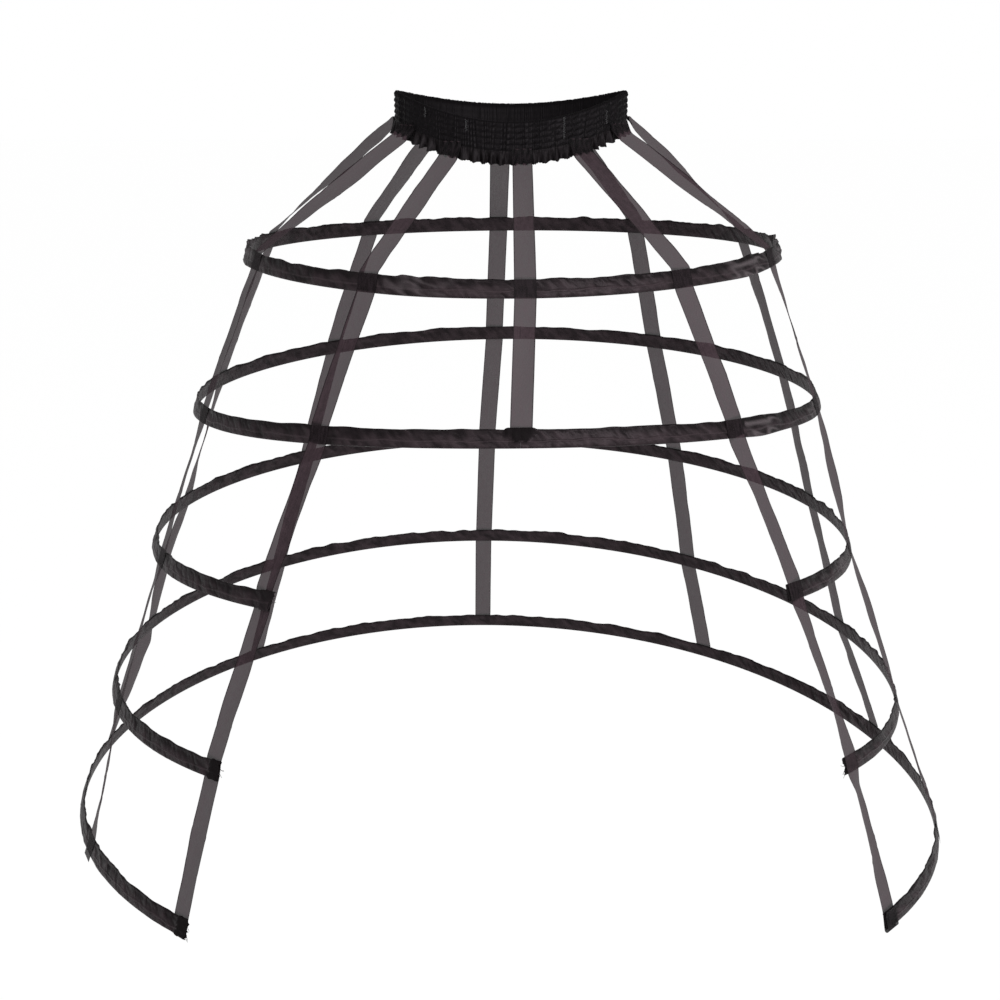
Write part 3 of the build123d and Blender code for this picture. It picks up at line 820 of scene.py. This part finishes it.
# Limits of a thread's length, slope, droop, start as a share of the casing's height, way out and curl rate
STRAND_LIMITS = ((3, 7), (-0.5, 0.6), (0, 0.8), (-0.3, 0.5), (-0.6, 1.6), (2, 6))


def strand_tree():
    """Tree that gives lines of points the thickness of a thread."""
    tree, keys, wires = new_tree("loose threads", {"Radius": float, "Thread": bpy.types.Material})
    wire = wires["Geometry"]
    curve = wire.node("GeometryNodeMeshToCurve", None, {"Mesh": wire})
    ring = wire.node("GeometryNodeCurvePrimitiveCircle", None, {
        "Resolution": STRAND_SIDES, "Radius": wires["Radius"],
    })
    strands = wire.node("GeometryNodeCurveToMesh", None, {
        "Curve": curve, "Profile Curve": ring, "Fill Caps": True,
    })
    close_tree(tree, strands, wires["Thread"])
    return tree, keys


def thread_finish(name, dark, pale):
    finish, shader, wire = new_finish(name, {"Specular IOR Level": 0.25})
    places = wire.node("ShaderNodeTexCoord", None, None, "Object")
    twist = wire.node("ShaderNodeTexNoise", None, {"Vector": places, "Scale": 900.0, "Detail": 2.0}, "Fac")
    paint(wire, shader, {
        "Base Color": twist.mix(dark, pale), "Roughness": 0.5 + twist * 0.25,
        "Normal": twist.bump(0.5, 0.0002),
    })
    return finish


def line_mesh(name, lines, closed=False):
    """Mesh of loose edges along rows of points."""
    points, edges = [], []
    for line in lines:
        start = len(points)
        points += (line * MM).tolist()
        edges += [(start + step, start + step + 1) for step in range(len(line) - 1)]
        if closed:
            edges.append((len(points) - 1, start))
    mesh = bpy.data.meshes.new(name)
    mesh.from_pydata(points, edges, [])
    return mesh


def end_strands(hoop, turn, way, draw):
    """Lines of the threads that come out of a casing's end, in the way that it points round the hoop."""
    share = np.linspace(STRAND_ROOT_SHARE, 1, STRAND_POINTS)
    gone = np.maximum(share, 0)
    lines = []
    for _ in range(STRANDS_PER_END):
        length, slope, droop, start, out, rate = (draw.uniform(*limits) for limits in STRAND_LIMITS)
        curl = STRAND_CURL * np.sin(gone * rate)
        down = start * CASING_HEIGHT + length * (slope * gone + droop * gone ** 2) + curl
        around = turn + way * np.degrees(share * length / hoop.radius)
        lines.append(hoop_points(hoop, around, down, STRAND_DEPTH + out * gone))
    return lines


draw = np.random.default_rng(STRAND_SEED)
strands = []
for number in range(CLOSED_HOOPS, len(HOOPS)):
    turns = casing_turns(number)
    strands += end_strands(HOOPS[number], turns[-1], 1, draw)
    if number + 1 < len(HOOPS):
        strands += end_strands(HOOPS[number], turns[0], -1, draw)
loose_threads, loose_keys = strand_tree()
black_thread = thread_finish("black thread", *BLACK_THREAD_COLOURS)
threads_piece = new_piece("frayed_threads", line_mesh("frayed_threads", strands), black_thread)
run_tree(threads_piece, loose_threads, loose_keys, {"Radius": STRAND_RADIUS * MM, "Thread": black_thread})
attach(threads_piece, "root")


# Waistband
# One strip of black satin folded over a wide elastic and shirred onto it by rows of stitching, so it gathers
# into fine upright folds. Below the lowest row its free edge stands out as a fluted frill.
STITCH_ROW_DROPS = (6.5, 12.9, 19.3, 25.6, 32.0)
BAND_ROWS = 26
INNER_ROWS = 14
FRILL_ROWS = 12
FLUTE_STEPS = 24
OVAL_STEPS = 7200

# The band's faces: where its rows begin, how far it puffs between stitch rows, and how deep its folds are
BAND_TOP = 0.6
FACE_INSET = 0.1
BAND_PUFF = 0.9
PUFF_POWER = 0.7
PUFF_SLANT = 1.7
ROW_FOLD = 0.16
PUFF_FOLD = 0.5
INNER_SHIFT = 40.0
INNER_PUFF = 0.3
INNER_FOLD = 0.25
CREST_OUTS = np.array((1.5, 0.0, -1.5))
CREST_DROPS = np.array((-0.6, -0.3, -0.6))
CREST_FOLD = 0.5
GATHER_WIDTH = 3.3
GATHER_SWING = 1.6
GATHER_MIDDLE = 0.9
GATHER_UNEVEN = 0.6

# The frill: its flutes, its edge, and the folds that run on into it from the lowest stitch row
FLUTE_COUNT = 58
FLUTE_DEPTH = 3.5
FLUTE_GROWTH = 0.8
FLUTE_UNEVEN = 0.25
PRESSED_FLUTE_SHARE = 0.45
PRESS_REACH = (9, 17)
FRILL_FLARE = 5.0
FRILL_EDGE = 0.6
FRILL_FOLD = 0.5
FRILL_FOLD_FADE = 1.5
EDGE_SWING = 0.9
EDGE_FOLD = 0.5

# Seed, numbers of waves round the waist, and heights of what makes the gathers and flutes uneven
Ripple = namedtuple("Ripple", "seed counts heights")
GATHER_DRIFT = Ripple(5, (9, 23, 41), (1.1, 0.8, 0.45))
GATHER_LEAN = Ripple(6, (13, 31), (0.5, 0.3))
GATHER_STRENGTH = Ripple(7, (37, 61, 97), (0.6, 0.5, 0.4))
PUFF_LUMPS = Ripple(8, (53, 83), (0.35, 0.25))
FLUTE_DRIFT = Ripple(11, (5, 11, 17), (0.15, 0.12, 0.1))
FLUTE_HEIGHTS = Ripple(12, (7, 19), (0.7, 0.6))

# The satin's patterns and colours, and where its frill and its crest lie round the band's section
WAIST_FOLDS = Grain(9, 0.5, 0, 3)
WAIST_THREADS = Grain(160, 3.1, 0, 0)
BAND_COLOURS = (0.0010, 0.0008, 0.0010, 1), (0.0040, 0.0033, 0.0039, 1)
FRILL_COLOURS = (0.0030, 0.0023, 0.0026, 1), (0.0120, 0.0095, 0.0105, 1)
FRILL_END_SHARES = (0.16, 0.2)
CREST_START_SHARES = (0.53, 0.56)
CREST_END_SHARES = (0.62, 0.65)


def waist_turns(count):
    """Angles that divide the waist oval into equal lengths, and its length."""
    turns = np.linspace(0, FULL_TURN, OVAL_STEPS)
    reach = distances(waist_points(turns, 0, 0)[:, :2])
    return np.interp(np.arange(count) / count * reach[-1], reach, turns), reach[-1]


def round_waist(along, length, ripple):
    """Waves that close on themselves round the waist."""
    return waves(along, ripple.seed, [length / count for count in ripple.counts], ripple.heights)


def tape_press(turns, length):
    """How far a tape holds the frill down along the waist: 1 under a tape and 0 clear of it."""
    press = np.zeros_like(turns)
    for tape in TAPES.values():
        apart = np.abs(turn_between(turns, tape.waist)) / FULL_TURN * length
        press = np.maximum(press, 1 - smooth_step(*PRESS_REACH, apart))
    return press


def gather_folds(along, length, drops):
    """Fine upright folds from about -1 to 1, which wander a little from row to row."""
    drift = round_waist(along, length, GATHER_DRIFT)[:, None]
    lean = round_waist(along, length, GATHER_LEAN)[:, None] * drops[None, :] / BAND_HEIGHT
    phase = round(length / GATHER_WIDTH) * along[:, None] / length + drift + lean
    strength = 1 + GATHER_UNEVEN * round_waist(along, length, GATHER_STRENGTH)[:, None]
    return strength * (GATHER_SWING * np.abs(np.sin(pi * phase)) - GATHER_MIDDLE)


def band_puff(drops):
    """Swell of the satin between the stitch rows: 0 on a row and 1 half way."""
    rows = np.array((0.0,) + STITCH_ROW_DROPS)
    span = np.clip(np.searchsorted(rows, drops, side="right"), 1, len(rows) - 1)
    share = np.clip((drops - rows[span - 1]) / (rows[span] - rows[span - 1]), 0, 1)
    return np.sin(pi * share) ** PUFF_POWER


def band_outs(along, length, drops):
    """Distance of the gathered band's outer face from the waist oval."""
    folds = gather_folds(along, length, drops)
    puff = band_puff(drops)[None, :]
    lumps = round_waist(along[:, None] + PUFF_SLANT * drops[None, :], length, PUFF_LUMPS)
    return BAND_FACE - FACE_INSET + (BAND_PUFF + lumps) * puff + folds * (ROW_FOLD + PUFF_FOLD * puff)


def flutes(along, length, turns):
    """Swing of the frill's flutes along the waist, from about -1 to 1, flatter under the tapes."""
    drift = round_waist(along, length, FLUTE_DRIFT)
    swing = np.sin(tau * (FLUTE_COUNT * along / length + drift))
    uneven = 1 + FLUTE_UNEVEN * round_waist(along, length, FLUTE_HEIGHTS)
    return swing * uneven * (1 - PRESSED_FLUTE_SHARE * tape_press(turns, length))


def frill_faces(swing, folds):
    """Drops of the frill's rows, and the distance of its outer and its inner face from the waist oval."""
    shares = np.linspace(0, 1, FRILL_ROWS + 1)[None, 1:]
    drops = BAND_HEIGHT + (FRILL_DROP - BAND_HEIGHT) * shares
    drops = drops + (EDGE_SWING * swing + EDGE_FOLD * folds) * shares ** 2
    middle = FRILL_FLARE * shares + FLUTE_DEPTH * swing * shares ** FLUTE_GROWTH
    middle = middle + FRILL_FOLD * folds * (1 - shares) ** FRILL_FOLD_FADE
    half = BAND_FACE * (1 - shares) ** 2 + FRILL_EDGE
    return drops, middle + half, middle - half


def band_section(turns, along, length):
    """Drops and outs of the band's section at each angle, from the frill's edge up its outer face, over its
    crest and down its inner face to the frill's edge again."""
    swing = flutes(along, length, turns)[:, None]
    foot_folds = gather_folds(along, length, np.array([BAND_HEIGHT]))
    frill_drops, frill_outer, frill_inner = frill_faces(swing, foot_folds)
    outer_drops = np.linspace(BAND_TOP, BAND_HEIGHT, BAND_ROWS)
    outer = band_outs(along, length, outer_drops)
    inner_drops = np.linspace(BAND_TOP, BAND_HEIGHT, INNER_ROWS)
    inner_folds = gather_folds(along + INNER_SHIFT, length, inner_drops)
    inner = -BAND_FACE - FACE_INSET - INNER_PUFF * band_puff(inner_drops) - INNER_FOLD * inner_folds
    crest_drops = CREST_DROPS - CREST_FOLD * gather_folds(along, length, np.array([0.0]))
    wide = np.ones((len(turns), 1))
    drops = [frill_drops[:, ::-1], outer_drops[::-1] * wide, crest_drops, inner_drops * wide, frill_drops]
    outs = [frill_outer[:, ::-1], outer[:, ::-1], CREST_OUTS * wide, inner, frill_inner]
    return np.concatenate(drops, axis=1), np.concatenate(outs, axis=1)


def waist_satin_finish():
    finish, shader, wire = new_finish("waist satin", {
        "Specular IOR Level": 0.13, "Specular Tint": (1.0, 0.9, 0.97, 1),
    })
    around, along = cloth_places(wire)
    fold = cloth_noise(around, along, WAIST_FOLDS)
    thread = cloth_noise(around, along, WAIST_THREADS)
    tone = fold.step(0.3, 0.75)
    frill = 1 - around.step(*FRILL_END_SHARES)
    colour = frill.mix(tone.mix(*BAND_COLOURS), tone.mix(*FRILL_COLOURS))
    crest = around.step(*CREST_START_SHARES) * (1 - around.step(*CREST_END_SHARES))
    roughness = 0.38 + fold * 0.2 + crest * 0.4
    weave = (fold + thread * 0.1).bump(0.4, 0.0006)
    paint(wire, shader, {"Base Color": colour, "Roughness": roughness, "Normal": weave})
    return finish


waist_satin = waist_satin_finish()
turns, waist_length = waist_turns(FLUTE_COUNT * FLUTE_STEPS)
along = np.arange(len(turns)) / len(turns) * waist_length
band_grid = waist_points(turns[:, None], *band_section(turns, along, waist_length))
around = np.linspace(0, 1, band_grid.shape[1] + 1)
band_along = np.append(along, waist_length)
band_mesh = grid_mesh("shirred_waistband", band_grid, around, band_along, ring=True, tube=True)
waistband = new_piece("shirred_waistband", band_mesh, waist_satin)
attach(waistband, "root")
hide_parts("waistband")


# Waist stitching
# Rows of black thread shirr the satin to the elastic, a few upright bars of paler thread hold its turns and
# one more holds hoop 2's knot. Every stitch is a small rounded bar that lies along its row on the satin.
STITCH_LENGTH = 2.3
STITCH_THICKNESS = 0.42
STITCH_LENGTH_SHARES = (0.62, 0.86)
STITCH_STAND = 0.15
OVER_TAPE_STAND = 0.3
ROW_SEED = 3

# Angle round the waist, and first and last drop, of each upright bar of paler stitches
BAR_TACKS = ((-46, 1.5, 12), (-22, 2, 14), (26, 1, 24), (53, 9, 23))
BAR_LENGTH = 1.5
BAR_THICKNESS = 0.75
BAR_POINTS = 60
BAR_WANDER = 0.55
BAR_WANDER_RATE = 2.6
BAR_FACE_STEPS = 8
BAR_SEED = 8
KNOT_TACK_DROPS = (4.6, 8.4)
KNOT_TACK_POINTS = 12
KNOT_TACK_STAND = 1.2
KNOT_TACK_WANDER = 0.04
KNOT_TACK_WANDER_RATE = 3
GREY_THREAD_COLOURS = (0.045, 0.045, 0.047, 1), (0.16, 0.155, 0.16, 1)


def stitch_tree():
    """Tree that lays stitches end to end along a line of points."""
    tree, keys, wires = new_tree("stitch row", {
        "Stitch Length": float, "Thickness": float, "Seed": int, "Thread": bpy.types.Material,
    })
    wire, length, thickness = wires["Geometry"], wires["Stitch Length"], wires["Thickness"]
    curve = wire.node("GeometryNodeMeshToCurve", None, {"Mesh": wire})
    row = wire.node("GeometryNodeResampleCurve", {"mode": "LENGTH"}, {"Curve": curve, "Length": length})
    bar = wire.node("GeometryNodeMeshUVSphere", None, {"Segments": 6, "Rings": 4, "Radius": 0.5})
    tangent = wire.node("GeometryNodeInputTangent")
    turned = wire.node("FunctionNodeAlignRotationToVector", {"axis": "X"}, {"Vector": tangent})
    shortest, longest = STITCH_LENGTH_SHARES
    limits = {2: shortest, 3: longest, "Seed": wires["Seed"]}
    share = wire.node("FunctionNodeRandomValue", {"data_type": "FLOAT"}, limits, 1)
    size = wire.node("ShaderNodeCombineXYZ", None, {"X": length * share, "Y": thickness, "Z": thickness})
    stitches = wire.node("GeometryNodeInstanceOnPoints", None, {
        "Points": row, "Instance": bar, "Rotation": turned, "Scale": size,
    })
    close_tree(tree, stitches, wires["Thread"])
    return tree, keys


stitch_rows, stitch_keys = stitch_tree()
row_outs = band_outs(along, waist_length, np.array(STITCH_ROW_DROPS))
row_lines = []
for drop, row_out in zip(STITCH_ROW_DROPS, row_outs.T):
    out = row_out + STITCH_STAND
    if drop > BAND_HEIGHT - TAPE_LAP:
        out = np.maximum(out, (TAPE_FACE + OVER_TAPE_STAND) * tape_press(turns, waist_length))
    row_lines.append(waist_points(turns, drop, out))
row_mesh = line_mesh("waist_stitch_rows", row_lines, closed=True)
rows_piece = new_piece("waist_stitch_rows", row_mesh, black_thread)
run_tree(rows_piece, stitch_rows, stitch_keys, {
    "Stitch Length": STITCH_LENGTH * MM, "Thickness": STITCH_THICKNESS * MM, "Seed": ROW_SEED,
    "Thread": black_thread,
})
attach(rows_piece, "root")

pale_thread = thread_finish("grey thread", *GREY_THREAD_COLOURS)
bar_lines = []
for turn, first, last in BAR_TACKS:
    bar_drops = np.linspace(first, last, BAR_POINTS)
    bar_turns = turn + BAR_WANDER * np.sin(bar_drops * BAR_WANDER_RATE)
    face = int(np.interp(turn % FULL_TURN, turns, np.arange(len(turns))))
    near = slice(max(face - BAR_FACE_STEPS, 0), face + BAR_FACE_STEPS + 1)
    out = band_outs(along[near], waist_length, bar_drops).max(axis=0) + STITCH_STAND
    bar_lines.append(waist_points(bar_turns, bar_drops, out))
knot_drops = np.linspace(*KNOT_TACK_DROPS, KNOT_TACK_POINTS)
knot_turns = KNOT_TURN + KNOT_TACK_WANDER * np.sin(knot_drops * KNOT_TACK_WANDER_RATE)
bar_lines.append(hoop_points(HOOPS[KNOT_HOOP], knot_turns, knot_drops, KNOT_TACK_STAND))
bars_piece = new_piece("bar_stitches", line_mesh("bar_stitches", bar_lines), pale_thread)
run_tree(bars_piece, stitch_rows, stitch_keys, {
    "Stitch Length": BAR_LENGTH * MM, "Thickness": BAR_THICKNESS * MM, "Seed": BAR_SEED,
    "Thread": pale_thread,
})
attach(bars_piece, "root")


# Hidden pieces
# Inside the satin lie the woven elastic, flat spring-steel bones, crimped brass sleeves that join a closed
# bone's ends and dipped plastic caps on the free ends. They keep their solids and get their own finishes.
Speckle = namedtuple("Speckle", "name dark pale scale stretch metallic")
HIDDEN_SPECKLES = {
    "elastic": Speckle("woven elastic", (0.012, 0.012, 0.012, 1), (0.03, 0.03, 0.03, 1), 900, 4, 0),
    "bone_steel": Speckle("spring steel", (0.42, 0.42, 0.43, 1), (0.62, 0.62, 0.63, 1), 300, 9, 1),
    "sleeve_metal": Speckle("crimped brass", (0.50, 0.38, 0.18, 1), (0.68, 0.55, 0.30, 1), 500, 1, 1),
    "cap_plastic": Speckle("dipped plastic", (0.02, 0.02, 0.02, 1), (0.05, 0.05, 0.05, 1), 700, 1, 0),
}


def speckled_finish(speckle):
    finish, shader, wire = new_finish(speckle.name, {"Metallic": speckle.metallic})
    places = wire.node("ShaderNodeTexCoord", None, None, "Object")
    laid = wire.node("ShaderNodeMapping", None, {"Vector": places, "Scale": (1, 1, speckle.stretch)})
    settings = {"Vector": laid, "Scale": speckle.scale, "Detail": 4.0}
    grain = wire.node("ShaderNodeTexNoise", None, settings, "Fac")
    colour = grain.step(0.3, 0.7).mix(speckle.dark, speckle.pale)
    relief = grain.bump(0.3, 0.0002)
    paint(wire, shader, {"Base Color": colour, "Roughness": 0.3 + grain * 0.3, "Normal": relief})
    return finish


hidden_finishes = {slot: speckled_finish(speckle) for slot, speckle in HIDDEN_SPECKLES.items()}
for part in frame["record"]["subparts"]:
    if part["material_slot"] in hidden_finishes:
        node = frame["nodes"][part["node"]]
        node.data.materials.clear()
        node.data.materials.append(hidden_finishes[part["material_slot"]])


# Floor, light and camera
# A plain pale floor below the hem, large soft lamps and an even sky, and a camera just above the waist that
# looks slightly down at the open front. Places are in metres, and the lens and its frame in millimetres.
FLOOR_GAP = 0.30
FLOOR_REACH = 30.0
FLOOR_COLOUR = (0.9, 0.9, 0.9, 1)
FLOOR_GLOW = 1.045
GLOW_SHARE = 0.93
GLOSSY_GLOW_SHARE = 0.4
SKY_LIGHT = 0.36
WHITE = (1, 1, 1, 1)
LAMP_TARGET = (0, 0, -0.4)
Lamp = namedtuple("Lamp", "place size power")
LAMPS = {
    "key lamp": Lamp((1.8, -2.8, 1.2), 1.8, 66),
    "fill lamp": Lamp((-0.9, -3.0, 1.2), 1.8, 18),
    "top lamp": Lamp((0.2, 0.6, 2.6), 2.2, 10),
}
CAMERA_PLACE = (-0.0128, -1.850, 0.050)
CAMERA_PITCH = 15.44
CAMERA_LENS = 55.15
CAMERA_REACH = 100.0
FRAME_WIDTH = 36.0


def pale_floor():
    """Floor that the camera sees as white, and that still takes the cage's shadow."""
    low = cad_box[0][2] - FLOOR_GAP
    mesh = bpy.data.meshes.new("floor")
    corners = [(x * FLOOR_REACH, y * FLOOR_REACH, low) for x, y in ((-1, -1), (1, -1), (1, 1), (-1, 1))]
    mesh.from_pydata(corners, [], [(0, 1, 2, 3)])
    finish, shader, wire = new_finish("pale floor", {"Base Color": FLOOR_COLOUR, "Roughness": 0.9})
    camera_ray, glossy_ray, through_ray = (
        wire.node("ShaderNodeLightPath", None, None, f"Is {kind} Ray")
        for kind in ("Camera", "Glossy", "Transmission")
    )
    seen = camera_ray.at_least(through_ray).at_least(glossy_ray * GLOSSY_GLOW_SHARE)
    glow = wire.node("ShaderNodeEmission", None, {"Color": WHITE, "Strength": FLOOR_GLOW})
    plain = Wire(wire.tree, shader.outputs[0])
    blend = wire.node("ShaderNodeMixShader", None, {0: seen * GLOW_SHARE, 1: plain, 2: glow})
    wire.tree.links.new(blend.socket, wire.tree.nodes["Material Output"].inputs["Surface"])
    new_piece("floor", mesh, finish)


def soft_lamp(name, place, size, power):
    lamp = bpy.data.lights.new(name, "AREA")
    lamp.size, lamp.energy = size, power
    holder = bpy.data.objects.new(name, lamp)
    bpy.context.scene.collection.objects.link(holder)
    holder.location = place
    holder.rotation_euler = (Vector(LAMP_TARGET) - Vector(place)).to_track_quat("-Z", "Y").to_euler()


def even_sky():
    """Sky that lights the cage evenly, and that the camera sees as white."""
    world = bpy.data.worlds.new("even sky")
    world.use_nodes = True
    seen = Wire(world.node_tree).node("ShaderNodeLightPath", None, None, "Is Camera Ray")
    strength = seen * (1 - SKY_LIGHT) + SKY_LIGHT
    background = world.node_tree.nodes["Background"]
    background.inputs["Color"].default_value = WHITE
    world.node_tree.links.new(strength.socket, background.inputs["Strength"])
    bpy.context.scene.world = world


pale_floor()
for name, lamp in LAMPS.items():
    soft_lamp(name, *lamp)
even_sky()
bpy.context.scene.view_settings.view_transform = "Standard"

camera_data = bpy.data.cameras.new("camera")
camera_data.lens, camera_data.sensor_width = CAMERA_LENS, FRAME_WIDTH
camera_data.clip_end = CAMERA_REACH
camera = bpy.data.objects.new("camera", camera_data)
bpy.context.scene.collection.objects.link(camera)
camera.location = CAMERA_PLACE
camera.rotation_euler = (radians(90 - CAMERA_PITCH), 0, 0)
bpy.context.scene.camera = camera
